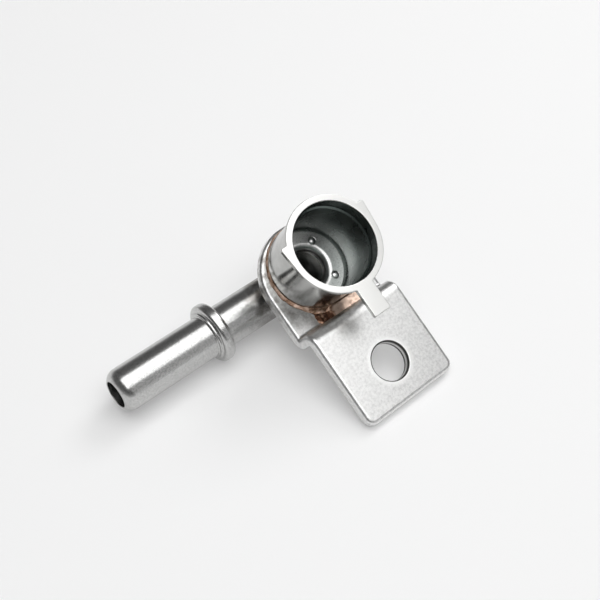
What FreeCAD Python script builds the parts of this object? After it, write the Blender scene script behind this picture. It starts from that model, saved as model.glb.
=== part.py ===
import FreeCAD, Part
import math
import os
from FreeCAD import Vector

# Fuel injector cap: a drawn cup, a floor ring, an inlet chamber, a folded bracket and a fuel tube,
# brazed together with copper. Millimetres. The origin is on the cup's axis in the bracket plate's
# top face, +Z points out of the cup's mouth, the tube runs along -X and the bolt leaf points to -Y.

# Drawn cup
cup_outer_radius = 8.0
cup_wall = 0.65
cup_floor_top_z = -1.25
cup_floor_thickness = 0.9
cup_corner_round = 0.95
cup_foot_round = 1.0
mouth_step = 0.3
mouth_height = 12.7
mouth_edge_round = 0.1
lead_in_depth = 2.6
lead_in_taper = 0.3

# Lip with two hooked ears and a locating tab
lip_width = 0.84
lip_thickness = 0.85
lip_edge_round = 0.15
lip_root_round = 0.3
ear_stand_out = 1.21
ear_face_y = 3.95
ear_tip_round = 0.4
tab_half_width = 1.8
tab_length = 5.26
tab_corner_round = 0.35
notch_round = 0.3

# Floor ring with its turned-down collar and raised dimples
ring_sheet = 0.7
ring_groove = 0.33
ring_edge_round = 0.22
collar_depth = 1.9
collar_entry_round = 1.2
dimple_count = 4
dimple_radius = 0.65
dimple_height = 0.22
moat_width = 0.2

# Inlet chamber under the cup
chamber_wall = 0.8
chamber_side_room = 0.755
chamber_foot_round = 3.2
chamber_floor_clearance = 0.2
floor_ledge = 0.45

# Fuel tube
tube_radius = 3.945
tube_wall = 0.84
tube_drop = 5.25
tube_reach = 40.3
tube_inner_end_x = -2.4
nose_round = 2.2
nose_draw_in = 0.7
nose_hole_radius = 2.5
nose_hole_length = 1.5
nose_taper_length = 0.8
nose_rim_round = 0.12
bead_radius = 5.6
bead_back_x = -18.4
bead_width = 2.15
bead_crest_round = 0.75
bead_root_round = 0.2
shoulder_radius = 4.55
shoulder_width = 0.45
shoulder_round = 0.2

# Folded bracket
bracket_sheet = 1.8
plate_side_margin = 2.15
plate_end_margin = 0.55
riser_clearance = 1.9
riser_height = 4.85
leaf_length = 19.3
leaf_corner_round = 1.7
inner_bend_radius = 0.6
shear_roll = 0.75
burr_break = 0.1
bolt_hole_radius = 3.5
bolt_hole_inset = 7.4
bolt_hole_round = 0.3

# Clearances and copper braze
braze_gap = 0.05
braze_fullness = 0.36
cup_braze_height = 1.0
cup_braze_width = 0.75
low_pool_x = -1.7
low_pool_radius = 3.4
low_pool_climb = 1.3
high_pool_x = 4.2
high_pool_radius = 4.4
high_pool_climb = 3.0
chamber_braze_leg = 0.6
tube_braze_leg = 0.7

# Working lengths: how far cutters reach past the part, and how close counts as touching
beyond = 5.0
touching = 0.001

# Sizes that follow
cup_bore_radius = cup_outer_radius - cup_wall
mouth_radius = cup_bore_radius + mouth_step
lip_radius = cup_outer_radius + lip_width
ear_reach = lip_radius + ear_stand_out
tab_reach = lip_radius + tab_length
cup_underside_z = cup_floor_top_z - cup_floor_thickness
lip_underside_z = mouth_height - lip_thickness
cup_hole_radius = cup_outer_radius + braze_gap
ring_radius = cup_bore_radius - ring_groove
ring_top_z = cup_floor_top_z + ring_sheet
floor_flat_radius = cup_bore_radius - cup_corner_round
chamber_bore_radius = tube_radius + chamber_side_room
chamber_radius = chamber_bore_radius + chamber_wall
collar_hole_radius = chamber_bore_radius - floor_ledge
collar_outer_radius = collar_hole_radius - braze_gap
collar_bore_radius = collar_outer_radius - ring_sheet
collar_shoulder_round = collar_entry_round - ring_sheet
dimple_circle_radius = (collar_outer_radius + floor_flat_radius) / 2
tube_bore_radius = tube_radius - tube_wall
tube_axis_z = cup_underside_z - tube_drop
tube_hole_radius = tube_radius + braze_gap
chamber_floor_z = tube_axis_z - tube_hole_radius - chamber_floor_clearance
chamber_foot_z = chamber_floor_z - chamber_wall
outer_bend_radius = inner_bend_radius + bracket_sheet
plate_end_y = cup_hole_radius + plate_end_margin
bracket_half_width = cup_hole_radius + plate_side_margin
riser_face_y = -cup_outer_radius - riser_clearance
riser_back_y = riser_face_y - bracket_sheet
leaf_end_y = riser_face_y - leaf_length
bolt_y = leaf_end_y + bolt_hole_inset


def on_section(a, b):
    """A point of a section beside the cup's axis: radius, height."""
    return Vector(a, 0, b)


def on_plan(a, b):
    """A point of an outline seen from above: x, y."""
    return Vector(a, b, 0)


def on_side(a, b):
    """A point of a profile seen along the tube: y, z."""
    return Vector(0, a, b)


def on_tube(a, b):
    """A point of the tube's section: x, distance from the tube's axis."""
    return Vector(a, 0, tube_axis_z + b)


def unit(vector):
    return vector * (1 / vector.Length)


def rounded_wire(corners, place):
    """Closed wire through (a, b, radius) corners, each rounded by an arc tangent to both its sides."""
    points = [place(a, b) for a, b, radius in corners]
    edges = []
    spans = []
    for i, (a, b, radius) in enumerate(corners):
        corner = points[i]
        back = unit(points[i - 1] - corner)
        ahead = unit(points[(i + 1) % len(points)] - corner)
        half = back.getAngle(ahead) / 2
        reach = radius / math.tan(half)
        start = corner + back * reach
        end = corner + ahead * reach
        middle = corner + unit(back + ahead) * (radius / math.sin(half) - radius)
        spans.append((start, middle, end))
    for i, (start, middle, end) in enumerate(spans):
        if corners[i][2] > 0:
            edges.append(Part.Arc(start, middle, end).toShape())
        following = spans[(i + 1) % len(spans)][0]
        if end.distanceToPoint(following) > touching:
            edges.append(Part.LineSegment(end, following).toShape())
    return Part.Wire(edges)


def copper_wire(root, foot, top):
    """Concave triangle of copper: its root in the corner, its foot and top where it thins out."""
    middle = root + (foot + top - root * 2) * braze_fullness
    return Part.Wire([
        Part.LineSegment(root, foot).toShape(),
        Part.Arc(foot, middle, top).toShape(),
        Part.LineSegment(top, root).toShape(),
    ])


def turned(wire):
    """Solid turned from a section round the cup's axis."""
    return Part.Face(wire).revolve(Vector(0, 0, 0), Vector(0, 0, 1), 360)


def turned_on_tube(wire):
    """Solid turned from a section round the tube's axis."""
    return Part.Face(wire).revolve(Vector(0, 0, tube_axis_z), Vector(1, 0, 0), 360)


def extruded(wire, start, length):
    """Solid pushed out of a wire from one place along one direction."""
    solid = Part.Face(wire).extrude(length)
    solid.translate(start)
    return solid


def upright(radius, bottom, top, y=0):
    """Round bar parallel to the cup's axis."""
    return Part.makeCylinder(radius, top - bottom, Vector(0, y, bottom))


def tube_bar(radius, end_x):
    """Round bar on the tube's axis, from outside the chamber to one x."""
    start_x = -chamber_radius - beyond
    return Part.makeCylinder(radius, end_x - start_x, Vector(start_x, 0, tube_axis_z), Vector(1, 0, 0))


def level_edges(shape, z):
    """Edges that lie level at one height."""
    return [
        edge for edge in shape.Edges
        if abs(edge.BoundBox.ZMin - z) < touching and abs(edge.BoundBox.ZMax - z) < touching
    ]


def circle_edges(shape, radius, z):
    """Round edges of one radius at one height."""
    return [
        edge for edge in level_edges(shape, z)
        if not edge.Degenerated
        and isinstance(edge.Curve, Part.Circle)
        and abs(edge.Curve.Radius - radius) < touching
    ]


def lip_blank():
    """The flat lip before its mouth is opened, with its tab, its two ears and rounded rims."""
    bottom = Vector(0, 0, lip_underside_z)
    thickness = Vector(0, 0, lip_thickness)
    tab = extruded(rounded_wire([
        (-tab_half_width, 0, 0),
        (-tab_half_width, -tab_reach, tab_corner_round),
        (tab_half_width, -tab_reach, tab_corner_round),
        (tab_half_width, 0, 0),
    ], on_plan), bottom, thickness)
    outline = upright(lip_radius, lip_underside_z, mouth_height).fuse(tab)
    tip_x = math.sqrt(ear_reach ** 2 - ear_face_y ** 2)
    touch_angle = math.atan2(ear_face_y, tip_x) - math.acos(lip_radius / ear_reach)
    touch_x = lip_radius * math.cos(touch_angle)
    touch_y = lip_radius * math.sin(touch_angle)
    for side in (-1, 1):
        outline = outline.fuse(extruded(rounded_wire([
            (0, 0, 0),
            (0, ear_face_y, 0),
            (side * tip_x, ear_face_y, ear_tip_round),
            (side * touch_x, touch_y, 0),
        ], on_plan), bottom, thickness))
    outline = outline.removeSplitter()
    notches = []
    for edge in outline.Edges:
        box = edge.BoundBox
        stands_up = max(box.XLength, box.YLength) < touching
        on_rim = abs(math.hypot(box.Center.x, box.Center.y) - lip_radius) < touching
        beside_ear = abs(box.Center.y - ear_face_y) < touching
        beside_tab = abs(abs(box.Center.x) - tab_half_width) < touching
        if stands_up and on_rim and (beside_ear or beside_tab):
            notches.append(edge)
    outline = outline.makeFillet(notch_round, notches)
    rims = level_edges(outline, mouth_height) + level_edges(outline, lip_underside_z)
    return outline.makeFillet(lip_edge_round, rims)


def injector_cup():
    """Drawn cup: lip, lead-in, bore, and a floor pierced for the ring's collar."""
    lead_in_end_z = mouth_height - lead_in_depth
    inside_lip_z = mouth_height - lip_thickness / 2
    wall = turned(rounded_wire([
        (collar_hole_radius, cup_underside_z, 0),
        (cup_outer_radius, cup_underside_z, cup_foot_round),
        (cup_outer_radius, inside_lip_z, 0),
        (mouth_radius, inside_lip_z, 0),
        (mouth_radius, lead_in_end_z, 0),
        (cup_bore_radius, lead_in_end_z - lead_in_taper, 0),
        (cup_bore_radius, cup_floor_top_z, cup_corner_round),
        (collar_hole_radius, cup_floor_top_z, collar_shoulder_round),
    ], on_section))
    lip = lip_blank().cut(upright(mouth_radius, lip_underside_z - beyond, mouth_height + beyond))
    cup = wall.fuse(lip).removeSplitter()
    cup = cup.makeFillet(lip_root_round, circle_edges(cup, cup_outer_radius, lip_underside_z))
    return cup.makeFillet(mouth_edge_round, circle_edges(cup, mouth_radius, mouth_height))


def floor_ring():
    """Ring pressed from sheet: rounded rim, collar turned down through the floor, raised dimples."""
    collar_end_z = ring_top_z - collar_depth
    corner_rise = cup_corner_round - math.sqrt(cup_corner_round ** 2 - (ring_radius - floor_flat_radius) ** 2)
    ring = turned(rounded_wire([
        (collar_bore_radius, collar_end_z, 0),
        (collar_outer_radius, collar_end_z, 0),
        (collar_outer_radius, cup_floor_top_z, collar_shoulder_round),
        (floor_flat_radius, cup_floor_top_z, 0),
        (ring_radius, cup_floor_top_z + corner_rise + braze_gap, 0),
        (ring_radius, ring_top_z, ring_edge_round),
        (collar_bore_radius, ring_top_z, collar_entry_round),
    ], on_section))
    moat = Part.makeTorus(dimple_radius + moat_width / 2, moat_width / 2)
    dome_radius = (dimple_radius ** 2 + dimple_height ** 2) / (2 * dimple_height)
    dome = Part.makeSphere(dome_radius, Vector(0, 0, dimple_height - dome_radius))
    dome = dome.common(upright(dimple_radius + moat_width / 2, -moat_width / 2, beyond))
    for number in range(dimple_count):
        angle = (number + 0.5) * 2 * math.pi / dimple_count
        place = Vector(math.cos(angle), math.sin(angle), 0) * dimple_circle_radius
        place.z = ring_top_z
        ring = ring.cut(moat.translated(place))
        ring = ring.fuse(dome.translated(place))
    return ring.removeSplitter()


def chamber_outside():
    """Outer form of the inlet chamber, as if solid."""
    return turned(rounded_wire([
        (0, chamber_foot_z, 0),
        (chamber_radius, chamber_foot_z, chamber_foot_round),
        (chamber_radius, cup_underside_z, 0),
        (0, cup_underside_z, 0),
    ], on_section))


def chamber_hollow():
    """The space inside the inlet chamber."""
    return turned(rounded_wire([
        (0, chamber_floor_z, 0),
        (chamber_bore_radius, chamber_floor_z, chamber_foot_round - chamber_wall),
        (chamber_bore_radius, cup_underside_z, 0),
        (0, cup_underside_z, 0),
    ], on_section))


def inlet_chamber():
    """Small drawn cup that carries fuel from the tube to the floor hole."""
    return chamber_outside().cut(chamber_hollow()).cut(tube_bar(tube_hole_radius, 0))


def inlet_tube():
    """Fuel tube: square inner end, rolled bead with its shoulder, drawn-in nose."""
    bead_front_x = bead_back_x - bead_width
    shoulder_front_x = bead_front_x - shoulder_width
    nose_hole_end_x = nose_hole_length - tube_reach
    return turned_on_tube(rounded_wire([
        (tube_inner_end_x, tube_bore_radius, 0),
        (tube_inner_end_x, tube_radius, 0),
        (bead_back_x, tube_radius, bead_root_round),
        (bead_back_x, bead_radius, bead_crest_round),
        (bead_front_x, bead_radius, bead_crest_round),
        (bead_front_x, shoulder_radius, bead_root_round),
        (shoulder_front_x, shoulder_radius, shoulder_round),
        (shoulder_front_x, tube_radius, bead_root_round),
        (nose_draw_in - tube_reach, tube_radius, nose_round),
        (-tube_reach, nose_hole_radius, nose_rim_round),
        (nose_hole_end_x, nose_hole_radius, 0),
        (nose_hole_end_x + nose_taper_length, tube_bore_radius, 0),
    ], on_tube))


def mounting_bracket():
    """One sheet folded up and forward: plate round the cup, riser, and leaf with the bolt hole."""
    leaf_underside_z = riser_height - bracket_sheet
    fold = rounded_wire([
        (plate_end_y, 0, 0),
        (riser_face_y, 0, inner_bend_radius),
        (riser_face_y, riser_height, outer_bend_radius),
        (leaf_end_y, riser_height, 0),
        (leaf_end_y, leaf_underside_z, 0),
        (riser_back_y, leaf_underside_z, inner_bend_radius),
        (riser_back_y, -bracket_sheet, outer_bend_radius),
        (plate_end_y, -bracket_sheet, 0),
    ], on_side)
    strip = extruded(fold, Vector(-bracket_half_width, 0, 0), Vector(2 * bracket_half_width, 0, 0))
    outline = rounded_wire([
        (-bracket_half_width, plate_end_y, bracket_half_width),
        (-bracket_half_width, leaf_end_y, leaf_corner_round),
        (bracket_half_width, leaf_end_y, leaf_corner_round),
        (bracket_half_width, plate_end_y, bracket_half_width),
    ], on_plan)
    height = riser_height + bracket_sheet + 2 * beyond
    bracket = strip.common(extruded(outline, Vector(0, 0, -bracket_sheet - beyond), Vector(0, 0, height)))
    for z, radius in ((0, shear_roll), (-bracket_sheet, burr_break)):
        sides = [edge for edge in level_edges(bracket, z) if edge.BoundBox.XMax < touching - bracket_half_width]
        bracket = bracket.makeFillet(radius, sides)
    bracket = bracket.cut(upright(cup_hole_radius, -bracket_sheet - beyond, beyond))
    bracket = bracket.cut(upright(bolt_hole_radius, -beyond, riser_height + beyond, y=bolt_y))
    return bracket.makeFillet(bolt_hole_round, circle_edges(bracket, bolt_hole_radius, riser_height))


def copper_pool(middle_x, radius, climb):
    """Copper run into the crevice between the cup's wall and the riser, rounded off at its ends."""
    wall_side = turned(copper_wire(
        on_section(cup_outer_radius, 0),
        on_section(cup_outer_radius + riser_clearance, 0),
        on_section(cup_outer_radius, climb),
    ))
    riser_side = extruded(copper_wire(
        on_side(riser_face_y, 0),
        on_side(riser_face_y + riser_clearance, 0),
        on_side(riser_face_y, climb),
    ), Vector(middle_x - radius, 0, 0), Vector(2 * radius, 0, 0))
    ball = Part.makeSphere(radius, Vector(middle_x, riser_face_y, 0))
    return wall_side.fuse(riser_side).common(ball)


def cup_braze():
    """Copper that fills the gap round the cup, climbs its wall and pools against the riser."""
    wetted_z = cup_underside_z + cup_foot_round
    sleeve = upright(cup_hole_radius, wetted_z, 0)
    skirt = turned(copper_wire(
        on_section(cup_outer_radius, 0),
        on_section(cup_outer_radius + cup_braze_width, 0),
        on_section(cup_outer_radius, cup_braze_height),
    ))
    flat_radius = bracket_half_width - shear_roll
    flat = upright(flat_radius, 0, cup_braze_height, y=plate_end_y - bracket_half_width)
    copper = sleeve.multiFuse([
        skirt.common(flat),
        copper_pool(low_pool_x, low_pool_radius, low_pool_climb),
        copper_pool(high_pool_x, high_pool_radius, high_pool_climb),
    ])
    copper = copper.cut(upright(cup_outer_radius, wetted_z - beyond, beyond))
    return copper.cut(mounting_bracket()).removeSplitter()


def chamber_braze():
    """Copper fillet between the inlet chamber and the cup's underside."""
    return turned(copper_wire(
        on_section(chamber_radius, cup_underside_z),
        on_section(chamber_radius + chamber_braze_leg, cup_underside_z),
        on_section(chamber_radius, cup_underside_z - chamber_braze_leg),
    ))


def tube_braze():
    """Copper saddle round the tube where it enters the chamber, and in the gap through its wall."""
    bar = tube_bar(tube_radius, 0)
    joined = chamber_outside().fuse(bar)
    saddle = []
    for edge in joined.Edges:
        box = edge.BoundBox
        bends_both_ways = min(box.XLength, box.YLength, box.ZLength) > touching
        if bends_both_ways and box.XMin > -chamber_radius - touching:
            saddle.append(edge)
    blended = joined.makeFillet(tube_braze_leg, saddle)
    return blended.cut(chamber_hollow()).cut(inlet_chamber()).cut(bar).cut(chamber_braze())


nodes = {
    "injector_cup": injector_cup,
    "floor_ring": floor_ring,
    "inlet_chamber": inlet_chamber,
    "mounting_bracket": mounting_bracket,
    "inlet_tube": inlet_tube,
    "cup_braze": cup_braze,
    "chamber_braze": chamber_braze,
    "tube_braze": tube_braze,
}
os.makedirs("parts", exist_ok=True)
for name, build in nodes.items():
    shape = build()
    shape.exportStep("parts/" + name + ".step")
    print(name, len(shape.Solids), shape.isValid(), round(shape.Volume, 2))
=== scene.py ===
import math

import bmesh
import bpy
from mathutils import Euler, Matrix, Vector, noise


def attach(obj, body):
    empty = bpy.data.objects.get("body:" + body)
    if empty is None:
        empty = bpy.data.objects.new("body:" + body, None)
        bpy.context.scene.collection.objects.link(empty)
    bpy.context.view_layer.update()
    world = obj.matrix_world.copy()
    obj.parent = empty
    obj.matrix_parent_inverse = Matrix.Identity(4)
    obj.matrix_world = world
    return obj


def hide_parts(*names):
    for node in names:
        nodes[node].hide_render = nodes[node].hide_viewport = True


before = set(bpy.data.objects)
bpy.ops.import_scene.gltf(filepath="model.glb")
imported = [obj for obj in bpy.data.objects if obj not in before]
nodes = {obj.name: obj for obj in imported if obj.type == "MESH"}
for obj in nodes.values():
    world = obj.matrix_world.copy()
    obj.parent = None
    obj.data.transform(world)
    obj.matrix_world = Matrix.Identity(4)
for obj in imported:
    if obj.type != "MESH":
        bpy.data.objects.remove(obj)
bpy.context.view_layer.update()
scene = bpy.context.scene
print("frame loaded:", len(nodes), "CAD nodes")


# shared helpers; names that end in Mm hold millimetres, and 1000 takes them to Blender's metres

def linearColour(hexColour):
    # sRGB hex to the linear colour that Blender's sockets take
    channels = [int(hexColour[i:i + 2], 16) / 255 for i in (1, 3, 5)]
    return tuple(c / 12.92 if c <= 0.04045 else ((c + 0.055) / 1.055) ** 2.4 for c in channels) + (1.0,)


def addNode(tree, kind, values=None, links=None, **settings):
    # one shader node with its settings, socket values and incoming links
    node = tree.nodes.new(kind)
    for name, value in settings.items():
        setattr(node, name, value)
    for socket, value in (values or {}).items():
        node.inputs[socket].default_value = value
    for socket, source in (links or {}).items():
        tree.links.new(source, node.inputs[socket])
    return node


def fadeMm(limits):
    # the from-values of a fade whose start and end are given in millimetres
    return {"From Min": limits[0] / 1000, "From Max": limits[1] / 1000}


def newMaterial(name):
    material = bpy.data.materials.new(name)
    material.use_nodes = True
    material.node_tree.nodes.clear()
    return material, material.node_tree


def setRamp(node, places, hexColours):
    # the ramp's colours, each at its place from 0 to 1
    ramp = node.color_ramp
    while len(ramp.elements) < len(places):
        ramp.elements.new(0.5)
    for element, place, hexColour in zip(ramp.elements, places, hexColours):
        element.position = place
        element.color = linearColour(hexColour)


def newPiece(name, mesh, material, nodeName):
    # a piece that stands for a CAD node and rides with it
    piece = bpy.data.objects.new(name, mesh)
    scene.collection.objects.link(piece)
    mesh.materials.clear()
    mesh.materials.append(material)
    for face in mesh.polygons:
        face.use_smooth = True
    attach(piece, "root")
    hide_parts(nodeName)
    return piece


def metalSurface(tree, colour, roughness, normal):
    metal = addNode(tree, "ShaderNodeBsdfPrincipled", {"Metallic": 1.0}, {
        "Base Color": colour, "Roughness": roughness, "Normal": normal,
    })
    addNode(tree, "ShaderNodeOutputMaterial", links={"Surface": metal.outputs["BSDF"]})


# the drawn cup

cupSteel = {
    # painted highlight: the lip's paler colour stands in for the light its top face catches
    "lip": "#E4E4E2",
    "colour": "#BDBDBB",
    "shade": "#ACACAA",
    # painted shade: the dark brown of the line just above the copper ring
    "darkMark": "#3A2A20",
    # painted shade: the bore's greenish greys, darker higher up, stand in for the dark reflections inside the
    # cup
    "paintedBoreShadeLow": "#A9AEAC",
    "paintedBoreShadeHigh": "#646D6A",
    "roughness": 0.16,
    "lipRoughness": 0.3,
    "boreRoughness": 0.27,
    "roughnessSway": (-0.04, 0.05),
    "lipFadeMm": (12.55, 12.7),       # the lip's top face is at 12.7
    "outsideMm": (7.85, 7.95),        # the cup's outer radius is 8
    "boreSideMm": (7.77, 7.72),       # just outside the mouth's radius, 7.65
    "boreTopMm": (12.62, 12.52),
    "boreShadeMm": (0.0, 5.5),
    "paintedShadeTopMm": (0.75, 0.45),       # painted shade and reflection of the copper, just above the copper ring
    "paintedShadeFootMm": (-0.6, -0.1),
    "paintedShadeRaggedMm": 0.8,
    "cloudMm": 3.0,
    "cloudSpread": (0.35, 0.65),
    "drawLineMm": 0.35,               # real drawing lines are under 0.1, too fine to show
    "drawLineStretch": 0.03,
    "drawLineHeightMm": 0.002,
    "bumpStrength": 0.6,
}


def drawnCup(facts):
    # bright stainless, deep drawn: near-mirror walls with faint upright lines, a satin lip painted paler as a
    # highlight, a bore painted darker as shade, and a painted dark line of shade outside above the copper
    material, tree = newMaterial("drawn stainless cup")
    place = addNode(tree, "ShaderNodeTexCoord").outputs["Object"]
    axes = addNode(tree, "ShaderNodeSeparateXYZ", links={"Vector": place}).outputs
    flat = addNode(tree, "ShaderNodeCombineXYZ", links={"X": axes["X"], "Y": axes["Y"]})
    radius = addNode(tree, "ShaderNodeVectorMath", links={0: flat.outputs["Vector"]}, operation="LENGTH")
    cloud = addNode(tree, "ShaderNodeTexNoise", {"Scale": 1000 / facts["cloudMm"], "Detail": 4.0}, {
        "Vector": place,
    })
    tone = addNode(tree, "ShaderNodeValToRGB", links={"Fac": cloud.outputs["Fac"]})
    setRamp(tone, facts["cloudSpread"], (facts["shade"], facts["colour"]))

    # painted shade: the bore is painted darker and greener as it rises, for the dark reflections deep in the
    # cup
    inside = addNode(tree, "ShaderNodeMapRange", fadeMm(facts["boreSideMm"]), {
        "Value": radius.outputs["Value"],
    })
    low = addNode(tree, "ShaderNodeMapRange", fadeMm(facts["boreTopMm"]), {"Value": axes["Z"]})
    bore = addNode(tree, "ShaderNodeMath", links={
        0: inside.outputs["Result"], 1: low.outputs["Result"],
    }, operation="MULTIPLY")
    rise = addNode(tree, "ShaderNodeMapRange", fadeMm(facts["boreShadeMm"]), {"Value": axes["Z"]})
    paintedBoreShade = addNode(tree, "ShaderNodeMixRGB", {
        "Color1": linearColour(facts["paintedBoreShadeLow"]), "Color2": linearColour(facts["paintedBoreShadeHigh"]),
    }, {"Fac": rise.outputs["Result"]})
    colour = addNode(tree, "ShaderNodeMixRGB", links={
        "Fac": bore.outputs["Value"], "Color1": tone.outputs["Color"], "Color2": paintedBoreShade.outputs["Color"],
    })

    # painted shade: a ragged dark brown line on the outside just above the copper ring, for the shade and the
    # copper's reflection there
    ragged = addNode(tree, "ShaderNodeMath", {1: facts["paintedShadeRaggedMm"] / 1000}, {
        0: cloud.outputs["Fac"],
    }, operation="MULTIPLY")
    level = addNode(tree, "ShaderNodeMath", links={
        0: axes["Z"], 1: ragged.outputs["Value"],
    }, operation="SUBTRACT")
    paintedShadeTop = addNode(tree, "ShaderNodeMapRange", fadeMm(facts["paintedShadeTopMm"]), {
        "Value": level.outputs["Value"],
    })
    outside = addNode(tree, "ShaderNodeMapRange", fadeMm(facts["outsideMm"]), {
        "Value": radius.outputs["Value"],
    })
    above = addNode(tree, "ShaderNodeMapRange", fadeMm(facts["paintedShadeFootMm"]), {"Value": axes["Z"]})
    paintedShadeLine = addNode(tree, "ShaderNodeMath", links={
        0: paintedShadeTop.outputs["Result"], 1: outside.outputs["Result"],
    }, operation="MULTIPLY")
    paintedShadeLine = addNode(tree, "ShaderNodeMath", links={
        0: paintedShadeLine.outputs["Value"], 1: above.outputs["Result"],
    }, operation="MULTIPLY")
    colour = addNode(tree, "ShaderNodeMixRGB", {"Color2": linearColour(facts["darkMark"])}, {
        "Fac": paintedShadeLine.outputs["Value"], "Color1": colour.outputs["Color"],
    })

    # painted highlight: the lip's top face is painted paler for the light it catches; it was faced after
    # drawing, so it is also more even
    top = addNode(tree, "ShaderNodeMapRange", fadeMm(facts["lipFadeMm"]), {"Value": axes["Z"]})
    colour = addNode(tree, "ShaderNodeMixRGB", {"Color2": linearColour(facts["lip"])}, {
        "Fac": top.outputs["Result"], "Color1": colour.outputs["Color"],
    })
    lipGloss = addNode(tree, "ShaderNodeMapRange", {
        "To Min": facts["roughness"], "To Max": facts["lipRoughness"],
    }, {"Value": top.outputs["Result"]})
    boreGloss = addNode(tree, "ShaderNodeMath", {1: facts["boreRoughness"] - facts["roughness"]}, {
        0: bore.outputs["Value"],
    }, operation="MULTIPLY")
    uneven = addNode(tree, "ShaderNodeMapRange", {
        "To Min": facts["roughnessSway"][0], "To Max": facts["roughnessSway"][1],
    }, {"Value": cloud.outputs["Fac"]})
    gloss = addNode(tree, "ShaderNodeMath", links={
        0: boreGloss.outputs["Value"], 1: lipGloss.outputs["Result"],
    }, operation="ADD")
    gloss = addNode(tree, "ShaderNodeMath", links={
        0: gloss.outputs["Value"], 1: uneven.outputs["Result"],
    }, operation="ADD")

    stretched = addNode(tree, "ShaderNodeMapping", {"Scale": (1.0, 1.0, facts["drawLineStretch"])}, {
        "Vector": place,
    })
    lines = addNode(tree, "ShaderNodeTexNoise", {"Scale": 1000 / facts["drawLineMm"], "Detail": 3.0}, {
        "Vector": stretched.outputs["Vector"],
    })
    bump = addNode(tree, "ShaderNodeBump", {
        "Strength": facts["bumpStrength"], "Distance": facts["drawLineHeightMm"] / 1000,
    }, {"Height": lines.outputs["Fac"]})
    metalSurface(tree, colour.outputs["Color"], gloss.outputs["Value"], bump.outputs["Normal"])
    return material


# the chamber under the cup

chamberSteel = {
    "colour": "#BFBFBD",
    "shade": "#A9A9A7",
    "nearBraze": "#8C7355",
    "heatShare": 0.6,
    "heatFadeMm": (-4.2, -2.2),       # up to the cup's floor, where it was brazed
    "roughness": 0.24,
    "roughnessSway": (-0.05, 0.07),
    "cloudMm": 3.0,
    "cloudSpread": (0.35, 0.65),
    "grainMm": 0.3,                   # coarser than the real grain so that it shows
    "grainHeightMm": 0.004,
    "bumpStrength": 0.5,
}


def drawnChamber(facts):
    # the same drawn stainless outside and in, brown where the heat of the braze reached its rim
    material, tree = newMaterial("drawn stainless chamber")
    place = addNode(tree, "ShaderNodeTexCoord").outputs["Object"]
    cloud = addNode(tree, "ShaderNodeTexNoise", {"Scale": 1000 / facts["cloudMm"], "Detail": 5.0}, {
        "Vector": place,
    })
    fine = addNode(tree, "ShaderNodeTexNoise", {"Scale": 1000 / facts["grainMm"], "Detail": 4.0}, {
        "Vector": place,
    })
    tone = addNode(tree, "ShaderNodeValToRGB", links={"Fac": cloud.outputs["Fac"]})
    setRamp(tone, facts["cloudSpread"], (facts["shade"], facts["colour"]))
    height = addNode(tree, "ShaderNodeSeparateXYZ", links={"Vector": place}).outputs["Z"]
    nearBraze = addNode(tree, "ShaderNodeMapRange", {
        **fadeMm(facts["heatFadeMm"]), "To Max": facts["heatShare"],
    }, {"Value": height})
    colour = addNode(tree, "ShaderNodeMixRGB", {"Color2": linearColour(facts["nearBraze"])}, {
        "Fac": nearBraze.outputs["Result"], "Color1": tone.outputs["Color"],
    })
    gloss = addNode(tree, "ShaderNodeMapRange", {
        "To Min": facts["roughness"] + facts["roughnessSway"][0],
        "To Max": facts["roughness"] + facts["roughnessSway"][1],
    }, {"Value": cloud.outputs["Fac"]})
    bump = addNode(tree, "ShaderNodeBump", {
        "Strength": facts["bumpStrength"], "Distance": facts["grainHeightMm"] / 1000,
    }, {"Height": fine.outputs["Fac"]})
    metalSurface(tree, colour.outputs["Color"], gloss.outputs["Result"], bump.outputs["Normal"])
    return material


# the bracket's sheet and the floor ring's

sheetSteel = {
    "colour": "#E6E6E5",
    "shade": "#CECECD",
    "roughness": 0.36,
    "roughnessSway": 0.06,
    "speckleMm": 0.55,                # real tumbling marks are about 0.1, too fine to show
    "speckleSpread": (0.35, 0.6),
    "speckleHeightMm": 0.013,
    "bumpStrength": 0.6,
    # grey of the patches round the cup: partly heat tint, partly painted reflection of the dark cup wall
    "darkMark": "#8A8783",
    "darkMarkReachMm": (13.5, 9.0),      # from the cup's axis, 8 being its wall
    "darkMarkPatchMm": 1.6,
    "darkMarkPatchSpread": (0.42, 0.68),
    # torn band's colour, darkened further as painted shade inside the hole and at its rim
    "fractureAndPaintedShade": "#484847",
    "burnish": "#D2D2D1",
    # painted highlight: the pale halo round the bolt hole
    "paintedHalo": "#F0F0EF",
    "holePlaceMm": (0.0, -21.8, 0.0),
    "holeWallMm": (3.76, 3.7),        # the hole's radius is 3.5 and its rim is rounded by 0.3
    "holeHaloMm": (4.7, 3.9),
    "holeDepthMm": (3.05, 4.85),      # the two faces of the leaf
    "holeBands": (0.22, 0.34, 0.58, 0.7),
}

ringSteel = {
    "colour": "#D2D2D1",
    "shade": "#BEBEBD",
    "roughness": 0.29,
    "roughnessSway": 0.06,
    "speckleMm": 0.3,                 # drawn this coarse so that it shows
    "speckleSpread": (0.35, 0.6),
    "speckleHeightMm": 0.004,
    "bumpStrength": 0.6,
}


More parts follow.
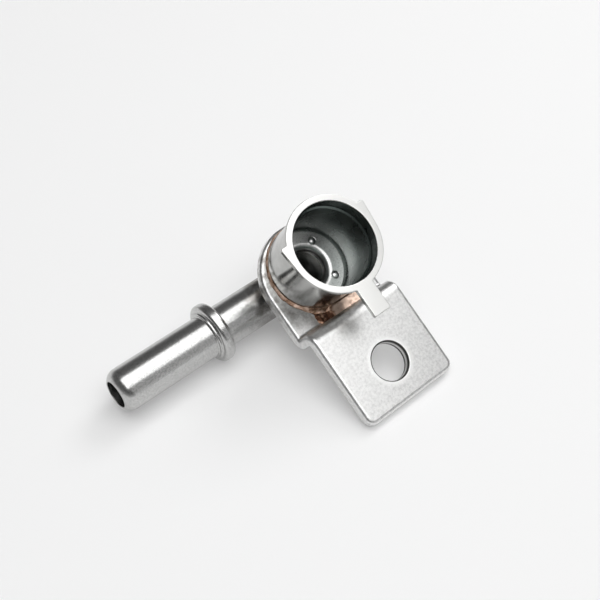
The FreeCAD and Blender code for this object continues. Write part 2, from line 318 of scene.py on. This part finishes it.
def heatTintAndPaintedReflection(tree, place, colour, facts):
    # grey patches round the cup: partly heat tint from the braze, partly painted reflection of the dark cup
    # wall on the plate
    axes = addNode(tree, "ShaderNodeSeparateXYZ", links={"Vector": place}).outputs
    flat = addNode(tree, "ShaderNodeCombineXYZ", links={"X": axes["X"], "Y": axes["Y"]})
    away = addNode(tree, "ShaderNodeVectorMath", links={0: flat.outputs["Vector"]}, operation="LENGTH")
    near = addNode(tree, "ShaderNodeMapRange", fadeMm(facts["darkMarkReachMm"]), {
        "Value": away.outputs["Value"],
    })
    cloud = addNode(tree, "ShaderNodeTexNoise", {
        "Scale": 1000 / facts["darkMarkPatchMm"], "Detail": 5.0, "Roughness": 0.6,
    }, {"Vector": place})
    patch = addNode(tree, "ShaderNodeMapRange", {
        "From Min": facts["darkMarkPatchSpread"][0], "From Max": facts["darkMarkPatchSpread"][1],
    }, {"Value": cloud.outputs["Fac"]})
    darkMark = addNode(tree, "ShaderNodeMath", links={
        0: near.outputs["Result"], 1: patch.outputs["Result"],
    }, operation="MULTIPLY")
    mixed = addNode(tree, "ShaderNodeMixRGB", {"Color2": linearColour(facts["darkMark"])}, {
        "Fac": darkMark.outputs["Value"], "Color1": colour,
    })
    return mixed.outputs["Color"]


def punchedHole(tree, place, colour, facts):
    # the bolt hole's wall, burnished between dull torn bands that are darkened further as painted shade
    # inside the hole and at its rim, and a pale halo painted round it as a highlight
    axes = addNode(tree, "ShaderNodeSeparateXYZ", links={"Vector": place}).outputs
    flat = addNode(tree, "ShaderNodeCombineXYZ", links={"X": axes["X"], "Y": axes["Y"]})
    away = addNode(tree, "ShaderNodeVectorMath", {1: [c / 1000 for c in facts["holePlaceMm"]]}, {
        0: flat.outputs["Vector"],
    }, operation="DISTANCE")
    # painted highlight: a pale halo on the leaf round the hole's rim
    pressed = addNode(tree, "ShaderNodeMapRange", fadeMm(facts["holeHaloMm"]), {
        "Value": away.outputs["Value"],
    })
    paintedHalo = addNode(tree, "ShaderNodeMixRGB", {"Color2": linearColour(facts["paintedHalo"])}, {
        "Fac": pressed.outputs["Result"], "Color1": colour,
    })
    depth = addNode(tree, "ShaderNodeMapRange", fadeMm(facts["holeDepthMm"]), {"Value": axes["Z"]})
    bands = addNode(tree, "ShaderNodeValToRGB", links={"Fac": depth.outputs["Result"]})
    tornAndShaded, burnished = facts["fractureAndPaintedShade"], facts["burnish"]
    setRamp(bands, facts["holeBands"], (tornAndShaded, burnished, burnished, tornAndShaded))
    wall = addNode(tree, "ShaderNodeMapRange", fadeMm(facts["holeWallMm"]), {"Value": away.outputs["Value"]})
    punched = addNode(tree, "ShaderNodeMixRGB", links={
        "Fac": wall.outputs["Result"], "Color1": paintedHalo.outputs["Color"], "Color2": bands.outputs["Color"],
    })
    return punched.outputs["Color"]


def tumbledSheet(name, facts, marks=()):
    # stainless sheet, tumbled after pressing: an even satin with a fine speckle, and the marks laid over it,
    # some of them painted light and shade
    material, tree = newMaterial(name)
    place = addNode(tree, "ShaderNodeTexCoord").outputs["Object"]
    speckle = addNode(tree, "ShaderNodeTexNoise", {
        "Scale": 1000 / facts["speckleMm"], "Detail": 5.0, "Roughness": 0.7,
    }, {"Vector": place})
    tone = addNode(tree, "ShaderNodeValToRGB", links={"Fac": speckle.outputs["Fac"]})
    setRamp(tone, facts["speckleSpread"], (facts["shade"], facts["colour"]))
    colour = tone.outputs["Color"]
    for mark in marks:
        colour = mark(tree, place, colour, facts)
    gloss = addNode(tree, "ShaderNodeMapRange", {
        "To Min": facts["roughness"] - facts["roughnessSway"],
        "To Max": facts["roughness"] + facts["roughnessSway"],
    }, {"Value": speckle.outputs["Fac"]})
    bump = addNode(tree, "ShaderNodeBump", {
        "Strength": facts["bumpStrength"], "Distance": facts["speckleHeightMm"] / 1000,
    }, {"Height": speckle.outputs["Fac"]})
    metalSurface(tree, colour, gloss.outputs["Result"], bump.outputs["Normal"])
    return material


# the fuel tube

tubeSteel = {
    "colour": "#C9C9C8",
    "shade": "#B0B0AF",
    "roughness": 0.24,
    "roughnessSway": (-0.03, 0.04),
    "grainMm": 0.3,                   # real grain and polishing streaks are under 0.05, too fine to show
    "grainSpread": (0.35, 0.6),
    "grainHeightMm": 0.005,
    "grainStrength": 0.5,
    "streakMm": 0.22,
    "streakLengthMm": 4.0,
    "streakHeightMm": 0.003,
    "streakStrength": 0.6,
    "darkMark": "#77736E",
    "darkMarkReachMm": (-14.5, -9.5),    # along the tube, towards the chamber
    "darkMarkPatchMm": 2.0,
    "darkMarkPatchSpread": (0.35, 0.6),
}


def drawnTube(facts):
    # stainless tube, cold drawn and polished: soft satin with faint streaks along it, grey near the braze
    material, tree = newMaterial("drawn stainless tube")
    place = addNode(tree, "ShaderNodeTexCoord").outputs["Object"]
    squeeze = facts["streakMm"] / facts["streakLengthMm"]
    stretched = addNode(tree, "ShaderNodeMapping", {"Scale": (squeeze, 1.0, 1.0)}, {"Vector": place})
    streaks = addNode(tree, "ShaderNodeTexNoise", {"Scale": 1000 / facts["streakMm"], "Detail": 4.0}, {
        "Vector": stretched.outputs["Vector"],
    })
    grain = addNode(tree, "ShaderNodeTexNoise", {
        "Scale": 1000 / facts["grainMm"], "Detail": 4.0, "Roughness": 0.6,
    }, {"Vector": place})
    tone = addNode(tree, "ShaderNodeValToRGB", links={"Fac": grain.outputs["Fac"]})
    setRamp(tone, facts["grainSpread"], (facts["shade"], facts["colour"]))
    # grey patches towards the chamber end of the tube
    along = addNode(tree, "ShaderNodeSeparateXYZ", links={"Vector": place}).outputs["X"]
    nearBraze = addNode(tree, "ShaderNodeMapRange", fadeMm(facts["darkMarkReachMm"]), {"Value": along})
    cloud = addNode(tree, "ShaderNodeTexNoise", {
        "Scale": 1000 / facts["darkMarkPatchMm"], "Detail": 5.0, "Roughness": 0.6,
    }, {"Vector": place})
    patch = addNode(tree, "ShaderNodeMapRange", {
        "From Min": facts["darkMarkPatchSpread"][0], "From Max": facts["darkMarkPatchSpread"][1],
    }, {"Value": cloud.outputs["Fac"]})
    darkMark = addNode(tree, "ShaderNodeMath", links={
        0: nearBraze.outputs["Result"], 1: patch.outputs["Result"],
    }, operation="MULTIPLY")
    colour = addNode(tree, "ShaderNodeMixRGB", {"Color2": linearColour(facts["darkMark"])}, {
        "Fac": darkMark.outputs["Value"], "Color1": tone.outputs["Color"],
    })
    gloss = addNode(tree, "ShaderNodeMapRange", {
        "To Min": facts["roughness"] + facts["roughnessSway"][0],
        "To Max": facts["roughness"] + facts["roughnessSway"][1],
    }, {"Value": grain.outputs["Fac"]})
    grainBump = addNode(tree, "ShaderNodeBump", {
        "Strength": facts["grainStrength"], "Distance": facts["grainHeightMm"] / 1000,
    }, {"Height": grain.outputs["Fac"]})
    bump = addNode(tree, "ShaderNodeBump", {
        "Strength": facts["streakStrength"], "Distance": facts["streakHeightMm"] / 1000,
    }, {"Height": streaks.outputs["Fac"], "Normal": grainBump.outputs["Normal"]})
    metalSurface(tree, colour.outputs["Color"], gloss.outputs["Result"], bump.outputs["Normal"])
    return material


finishes = {
    "injector_cup": drawnCup(cupSteel),
    "inlet_chamber": drawnChamber(chamberSteel),
    "floor_ring": tumbledSheet("pressed stainless ring", ringSteel),
    "mounting_bracket": tumbledSheet("tumbled stainless sheet", sheetSteel, (heatTintAndPaintedReflection, punchedHole)),
    "inlet_tube": drawnTube(tubeSteel),
}
for nodeName, material in finishes.items():
    slots = nodes[nodeName].data.materials
    if len(slots):
        slots[0] = material
    else:
        slots.append(material)
print("steel finishes set:", len(finishes))


# copper braze

copperBraze = {
    "bright": "#F8DCC9",
    "wash": "#BE9A82",
    # dark brown: painted shade in the pool's corner, and the darkest random tone of the ring
    "darkToneAndShade": "#4A3226",
    "tonePlaces": (0.1, 0.5, 0.9),
    "roughness": 0.3,
    "roughnessAdded": (0.12, 0.06),   # over the wash, and over the full copper
    "blotchMm": 0.8,
    "blotchSpread": (0.3, 0.7),
    "blotchShare": 0.35,
    "blotchHeightMm": 0.02,
    "bumpStrength": 0.2,
    "rippleMm": 1.8,
    "rippleHeightMm": 0.1,
    "rippleFullMm": 0.5,              # copper thinner than this ripples less
    "voxelMm": 0.1,
    "meltedFlow": 0.6,
}

seam = {
    "cupRadiusMm": 8.0,
    "riserFaceMm": -9.9,
    "plateRoundMm": 10.2,
    "plateCentreMm": -1.6,
    "plateRollMm": 0.75,
    "turns": 720,
    "steps": 26,
    "widestMm": 1.3,
    "plateInsetMm": 0.4,              # the copper stops this far inside the plate's rolled edge
    "riserTuckMm": 0.12,              # and this far inside the riser
    "riserStart": 0.55,               # sine of the angle at which the ring opens out to the riser
    "riserBlend": 0.2,
    "cornerMm": 12.6,
    "cupTuckMm": 0.06,
    "footGapMm": 0.03,
    "shelfMm": -0.5,
    "footMm": -1.15,
    "footFlow": 0.4,
    "sinkMm": 0.04,
}

ringFillet = {
    "climbMm": 0.6,
    "climbSway": 0.35,
    "climbSwayMm": 1.6,
    "reachMm": 0.6,
    "reachSway": 0.4,
    "reachSwayMm": 1.1,
    "behindMm": (-1.0, 5.0),          # behind the cup the fillet thins by this share
    "behindThinner": 0.5,
    "besidePoolMm": ((-6.0, -4.5), (4.5, 6.0)),
    "besidePoolClimb": 0.3,
    "shownMm": (0.02, 0.12),
    "flowAndPaintedShade": (0.6, 0.3),
}

copperPool = {
    "creviceMm": (7.2, 8.3),          # the pool lies between the cup and the riser
    "leastGapMm": 0.5,
    "washMm": 0.3,
    "washEdgeMm": (-5.2, -3.9),
    "washRaggedMm": 0.8,
    "washUnderRing": 0.5,
    "lumpMm": 0.8,
    "lumpShare": 0.3,
    "wedgeMm": 2.1,
    "wedgeSlope": 0.15,
    "wedgeLeanMm": 0.2,
    "wedgeHollowMm": 0.08,
    "wedgeStartMm": (-2.8, 0.4),
    "wedgeEndMm": (3.8, 6.8),
    "wedgeMostMm": 2.6,
    "wedgeCoversMm": (0.3, 0.9),
    "wedgeFullMm": (0.2, 0.9),
    # painted shade: the pool is dark brown where no wedge covers it, in the corner between cup and riser
    "flowAndPaintedShade": (0.1, 0.85),
}


def copperFinish(facts):
    # copper melted in a furnace: bright and pinkish where it is thick, brown where it thinned to a wash, and
    # dark brown as painted shade in the pool's corner
    material, tree = newMaterial("furnace copper braze")
    place = addNode(tree, "ShaderNodeTexCoord").outputs["Object"]
    flowAndPaintedShade = addNode(tree, "ShaderNodeAttribute", attribute_name="flowAndPaintedShade").outputs["Fac"]
    blotch = addNode(tree, "ShaderNodeTexNoise", {
        "Scale": 1000 / facts["blotchMm"], "Detail": 3.0, "Roughness": 0.55,
    }, {"Vector": place})
    mottle = addNode(tree, "ShaderNodeMapRange", {
        "From Min": facts["blotchSpread"][0], "From Max": facts["blotchSpread"][1],
        "To Min": -facts["blotchShare"], "To Max": facts["blotchShare"],
    }, {"Value": blotch.outputs["Fac"]})
    fullnessAndShade = addNode(tree, "ShaderNodeMath", links={0: flowAndPaintedShade, 1: mottle.outputs["Result"]}, operation="ADD")
    tone = addNode(tree, "ShaderNodeValToRGB", links={"Fac": fullnessAndShade.outputs["Value"]})
    setRamp(tone, facts["tonePlaces"], (facts["darkToneAndShade"], facts["wash"], facts["bright"]))
    gloss = addNode(tree, "ShaderNodeMapRange", {
        "To Min": facts["roughness"] + facts["roughnessAdded"][0],
        "To Max": facts["roughness"] + facts["roughnessAdded"][1],
    }, {"Value": fullnessAndShade.outputs["Value"]})
    bump = addNode(tree, "ShaderNodeBump", {
        "Strength": facts["bumpStrength"], "Distance": facts["blotchHeightMm"] / 1000,
    }, {"Height": blotch.outputs["Fac"]})
    metalSurface(tree, tone.outputs["Color"], gloss.outputs["Result"], bump.outputs["Normal"])
    return material


def eased(value, start, end):
    # 0 before start, 1 after end, with soft ends between them
    share = min(max((value - start) / (end - start), 0.0), 1.0)
    return share * share * (3 - 2 * share)


def wander(x, y, sizeMm, layer):
    # smooth noise over the plate, about -1 to 1; each layer is another pattern
    return noise.noise(Vector((x / sizeMm, y / sizeMm, layer)))


def plateSurface(x, y):
    # height of the plate's top with its rolled edge, millimetres
    roll = seam["plateRollMm"]
    out = math.hypot(x, y - seam["plateCentreMm"]) - (seam["plateRoundMm"] - roll)
    if y < seam["plateCentreMm"] or out <= 0:
        return 0.0
    return math.sqrt(max(roll ** 2 - min(out, roll) ** 2, 0.0)) - roll


def copperLevel(x, y, ring, pool):
    # copper's height over the plate and how full it lies there, which also carries painted shade in the
    # pool's corner: a fillet round the cup, a wash, and a wedge
    sway = wander(x, y, ring["climbSwayMm"], layer=3.0)
    acrossPool, alongPool = ring["besidePoolMm"]
    besidePool = eased(x, *acrossPool) * eased(-y, *alongPool)
    climb = ring["climbMm"] * (1 + ring["climbSway"] * sway) * (1 + ring["besidePoolClimb"] * besidePool)
    reach = ring["reachMm"] * (1 + ring["reachSway"] * wander(x, y, ring["reachSwayMm"], layer=9.0))
    reach *= (1.0 - ring["behindThinner"] * eased(y, *ring["behindMm"])) * (1 + besidePool)
    away = math.hypot(x, y) - seam["cupRadiusMm"]
    fillet = climb * max(1 - away / reach, 0.0) ** 2

    inCrevice = eased(-y, *pool["creviceMm"])
    cupWall = -math.sqrt(max(seam["cupRadiusMm"] ** 2 - x * x, 0.0))
    across = (y - seam["riserFaceMm"]) / max(cupWall - seam["riserFaceMm"], pool["leastGapMm"])
    across = min(max(across, 0.0), 1.0)
    wash = pool["washMm"] * eased(x + pool["washRaggedMm"] * sway, *pool["washEdgeMm"]) * inCrevice
    lumps = 1 + pool["lumpShare"] * wander(x, y, pool["lumpMm"], layer=5.0)
    hollow = pool["wedgeHollowMm"] * (1 - (2 * across - 1) ** 2)
    wedge = eased(x, *pool["wedgeStartMm"]) * (1 - eased(x, *pool["wedgeEndMm"])) * inCrevice
    wedge *= pool["wedgeMm"] + pool["wedgeSlope"] * x + pool["wedgeLeanMm"] * across - hollow
    wedge = min(max(wedge, 0.0), pool["wedgeMostMm"])
    height = max(fillet + pool["washUnderRing"] * wash, wash * lumps + wedge)

    ringShare = eased(fillet, *ring["shownMm"]) * (1 - eased(wedge, *pool["wedgeCoversMm"]))
    ringFlow = ring["flowAndPaintedShade"][0] + ring["flowAndPaintedShade"][1] * sway
    poolPaintedShade = pool["flowAndPaintedShade"][0] + pool["flowAndPaintedShade"][1] * eased(wedge, *pool["wedgeFullMm"])
    return height, poolPaintedShade + (ringFlow - poolPaintedShade) * ringShare


def copperEdge(sine):
    # how far from the axis the copper may reach: the plate's rolled edge, or the riser where that is nearer
    drop = seam["plateCentreMm"] * sine
    inset = seam["plateRoundMm"] - seam["plateInsetMm"]
    edge = drop + math.sqrt(inset ** 2 - seam["plateCentreMm"] ** 2 + drop ** 2)
    outer = min(seam["cupRadiusMm"] + seam["widestMm"], edge)
    share = min(max((-sine - seam["riserStart"]) / seam["riserBlend"], 0.0), 1.0)
    if share > 0:
        toRiser = min((seam["riserFaceMm"] - seam["riserTuckMm"]) / sine, seam["cornerMm"])
        outer += (toRiser - outer) * share
    return outer


def cupCopper(facts, material):
    # closed ring of flowed copper between the cup, the plate and the riser
    shape = bmesh.new()
    flowAndShadeLayer = shape.verts.layers.float.new("flowAndPaintedShade")
    inner = seam["cupRadiusMm"] - seam["cupTuckMm"]
    foot = seam["cupRadiusMm"] + seam["footGapMm"]
    rings = []
    for turn in range(seam["turns"]):
        angle = 2 * math.pi * turn / seam["turns"]
        cosine, sine = math.cos(angle), math.sin(angle)
        outer = copperEdge(sine)
        section = []
        for step in range(seam["steps"]):
            radius = inner + (outer - inner) * step / (seam["steps"] - 1)
            x, y = radius * cosine, radius * sine
            height, flowAndPaintedShade = copperLevel(x, y, ringFillet, copperPool)
            ripple = noise.noise(Vector((x, y, height)) / facts["rippleMm"])
            ripple *= facts["rippleHeightMm"] / (1 + height) * min(height / facts["rippleFullMm"], 1.0)
            section.append((x, y, plateSurface(x, y) + height + ripple - seam["sinkMm"], flowAndPaintedShade))
        shelf, bottom = seam["shelfMm"], seam["footMm"]
        for radius, z in ((outer, shelf), (foot, shelf), (foot, bottom), (inner, bottom)):
            section.append((radius * cosine, radius * sine, z, seam["footFlow"]))
        ring = []
        for x, y, z, flowAndPaintedShade in section:
            vertex = shape.verts.new((x / 1000, y / 1000, z / 1000))
            vertex[flowAndShadeLayer] = flowAndPaintedShade
            ring.append(vertex)
        rings.append(ring)
    for here, following in zip(rings, rings[1:] + rings[:1]):
        for step in range(len(here)):
            ahead = (step + 1) % len(here)
            shape.faces.new((here[step], here[ahead], following[ahead], following[step]))
    bmesh.ops.recalc_face_normals(shape, faces=shape.faces)
    mesh = bpy.data.meshes.new("cupBraze")
    shape.to_mesh(mesh)
    shape.free()
    return newPiece("cupBraze", mesh, material, "cup_braze")


def meltedCopper(name, nodeName, facts, material):
    # a small fillet: the solid's own form with its facets melted together and a rippled skin
    source = bpy.data.objects.new(name + "Draft", nodes[nodeName].data.copy())
    scene.collection.objects.link(source)
    remesh = source.modifiers.new("melt", "REMESH")
    remesh.mode = "VOXEL"
    remesh.voxel_size = facts["voxelMm"] / 1000
    mesh = bpy.data.meshes.new_from_object(source.evaluated_get(bpy.context.evaluated_depsgraph_get()))
    bpy.data.objects.remove(source)
    scale = 1000 / facts["rippleMm"]
    height = facts["rippleHeightMm"] / 1000
    moves = [v.normal * (noise.noise(v.co * scale) * height) for v in mesh.vertices]
    flowAndPaintedShade = mesh.attributes.new("flowAndPaintedShade", "FLOAT", "POINT")
    for vertex, move, level in zip(mesh.vertices, moves, flowAndPaintedShade.data):
        vertex.co = vertex.co + move
        level.value = facts["meltedFlow"]
    mesh.update()
    return newPiece(name, mesh, material, nodeName)


copperMaterial = copperFinish(copperBraze)
for braze in (
    cupCopper(copperBraze, copperMaterial),
    meltedCopper("chamberBraze", "chamber_braze", copperBraze, copperMaterial),
    meltedCopper("tubeBraze", "tube_braze", copperBraze, copperMaterial),
):
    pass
print("copper flowed")


# the table: the part lies on its bead, its chamber and the leaf's corner

table = {
    "colour": "#F4F4F4",
    "shine": "#FFFFFF",
    "glow": 0.2,
    "up": (0.016, 0.5, 0.866),
    "depthMm": 12.4,
    "radiusMm": 500,
    "sides": 64,
}


def tableTop(facts):
    # a pale table; seen from under it, the table is clear, so it never hides the part
    up = Vector(facts["up"]).normalized()
    mesh = bpy.data.meshes.new("tableTop")
    shape = bmesh.new()
    bmesh.ops.create_circle(shape, cap_ends=True, segments=facts["sides"], radius=facts["radiusMm"] / 1000)
    turn = up.to_track_quat("Z", "Y").to_matrix().to_4x4()
    bmesh.ops.transform(shape, matrix=turn, verts=shape.verts)
    bmesh.ops.translate(shape, vec=-up * facts["depthMm"] / 1000, verts=shape.verts)
    shape.to_mesh(mesh)
    shape.free()
    floor = bpy.data.objects.new("tableTop", mesh)
    scene.collection.objects.link(floor)

    # matt white that shows a little brighter to the eye and to mirrors than the lamps make it
    material, tree = newMaterial("matt white table")
    side = addNode(tree, "ShaderNodeNewGeometry").outputs["Backfacing"]
    ray = addNode(tree, "ShaderNodeLightPath").outputs
    seen = addNode(tree, "ShaderNodeMath", links={
        0: ray["Is Camera Ray"], 1: ray["Is Glossy Ray"],
    }, operation="ADD")
    seen = addNode(tree, "ShaderNodeMath", links={
        0: seen.outputs[0], 1: ray["Is Transmission Ray"],
    }, operation="ADD")
    share = addNode(tree, "ShaderNodeMath", {1: facts["glow"]}, {0: seen.outputs[0]}, operation="MULTIPLY")
    matt = addNode(tree, "ShaderNodeBsdfDiffuse", {"Color": linearColour(facts["colour"])})
    glow = addNode(tree, "ShaderNodeEmission", {"Color": linearColour(facts["shine"]), "Strength": 1.0})
    pale = addNode(tree, "ShaderNodeMixShader", links={
        0: share.outputs[0], 1: matt.outputs["BSDF"], 2: glow.outputs["Emission"],
    })
    clear = addNode(tree, "ShaderNodeBsdfTransparent")
    both = addNode(tree, "ShaderNodeMixShader", links={
        0: side, 1: pale.outputs["Shader"], 2: clear.outputs["BSDF"],
    })
    addNode(tree, "ShaderNodeOutputMaterial", links={"Surface": both.outputs["Shader"]})
    mesh.materials.append(material)
    return floor


tableTop(table)
print("table laid")


# studio light: a broad box overhead, a small one to its right, a weak one in front, and a dim room; in metres

studio = {
    "room": "#606060",
    "cove": "#B4B4B4",
    "coveHeight": 0.28,               # sine of the angle over the table at which the cove ends
    "overhead": {"from": (-0.02, 0.33, 0.94), "away": 0.7, "size": (0.8, 0.8), "power": 4.6},
    "right": {"from": (0.7, 0.46, 0.54), "away": 0.65, "size": (0.3, 0.3), "power": 1.25},
    "front": {"from": (0.32, -0.53, 0.79), "away": 0.8, "size": (0.6, 0.6), "power": 0.4},
}


def roomLight(facts):
    # pale low down, like a studio cove, and dim above it, so that the steel has something dark to mirror
    world = bpy.data.worlds.new("studio room")
    world.use_nodes = True
    tree = world.node_tree
    tree.nodes.clear()
    place = addNode(tree, "ShaderNodeTexCoord").outputs["Generated"]
    height = addNode(tree, "ShaderNodeVectorMath", {1: table["up"]}, {0: place}, operation="DOT_PRODUCT")
    share = addNode(tree, "ShaderNodeMapRange", {"From Min": 0.0, "From Max": facts["coveHeight"]}, {
        "Value": height.outputs["Value"],
    })
    tone = addNode(tree, "ShaderNodeMixRGB", {
        "Color1": linearColour(facts["cove"]), "Color2": linearColour(facts["room"]),
    }, {"Fac": share.outputs["Result"]})
    light = addNode(tree, "ShaderNodeBackground", {"Strength": 1.0}, {"Color": tone.outputs["Color"]})
    addNode(tree, "ShaderNodeOutputWorld", links={"Surface": light.outputs["Background"]})
    scene.world = world


def softBox(name, facts):
    # a soft box that hangs in this direction from the part and faces it
    lamp = bpy.data.lights.new(name, "AREA")
    lamp.shape = "RECTANGLE"
    lamp.size, lamp.size_y = facts["size"]
    lamp.energy = facts["power"]
    box = bpy.data.objects.new(name, lamp)
    aim = Vector(facts["from"]).normalized()
    box.location = aim * facts["away"]
    box.rotation_mode = "QUATERNION"
    box.rotation_quaternion = aim.to_track_quat("Z", "Y")
    scene.collection.objects.link(box)
    return box


roomLight(studio)
softBox("overheadBox", studio["overhead"])
softBox("rightBox", studio["right"])
softBox("frontBox", studio["front"])
print("studio lit")


# camera: found from the part's own edges in the photograph

cameraFacts = {
    "place": (-0.08642, -0.01241, 0.16608),
    "turn": (17.467, -19.763, -37.080),
    "lensMm": 62.97,
    "sensorMm": 36,
    "clip": (0.005, 5),
}
cameraData = bpy.data.cameras.new("photoCamera")
cameraData.sensor_width = cameraFacts["sensorMm"]
cameraData.lens = cameraFacts["lensMm"]
cameraData.clip_start, cameraData.clip_end = cameraFacts["clip"]
camera = bpy.data.objects.new("photoCamera", cameraData)
camera.location = cameraFacts["place"]
camera.rotation_euler = Euler([math.radians(a) for a in cameraFacts["turn"]], "XYZ")
scene.collection.objects.link(camera)
scene.camera = camera
scene.view_settings.view_transform = "Standard"
print("camera placed")
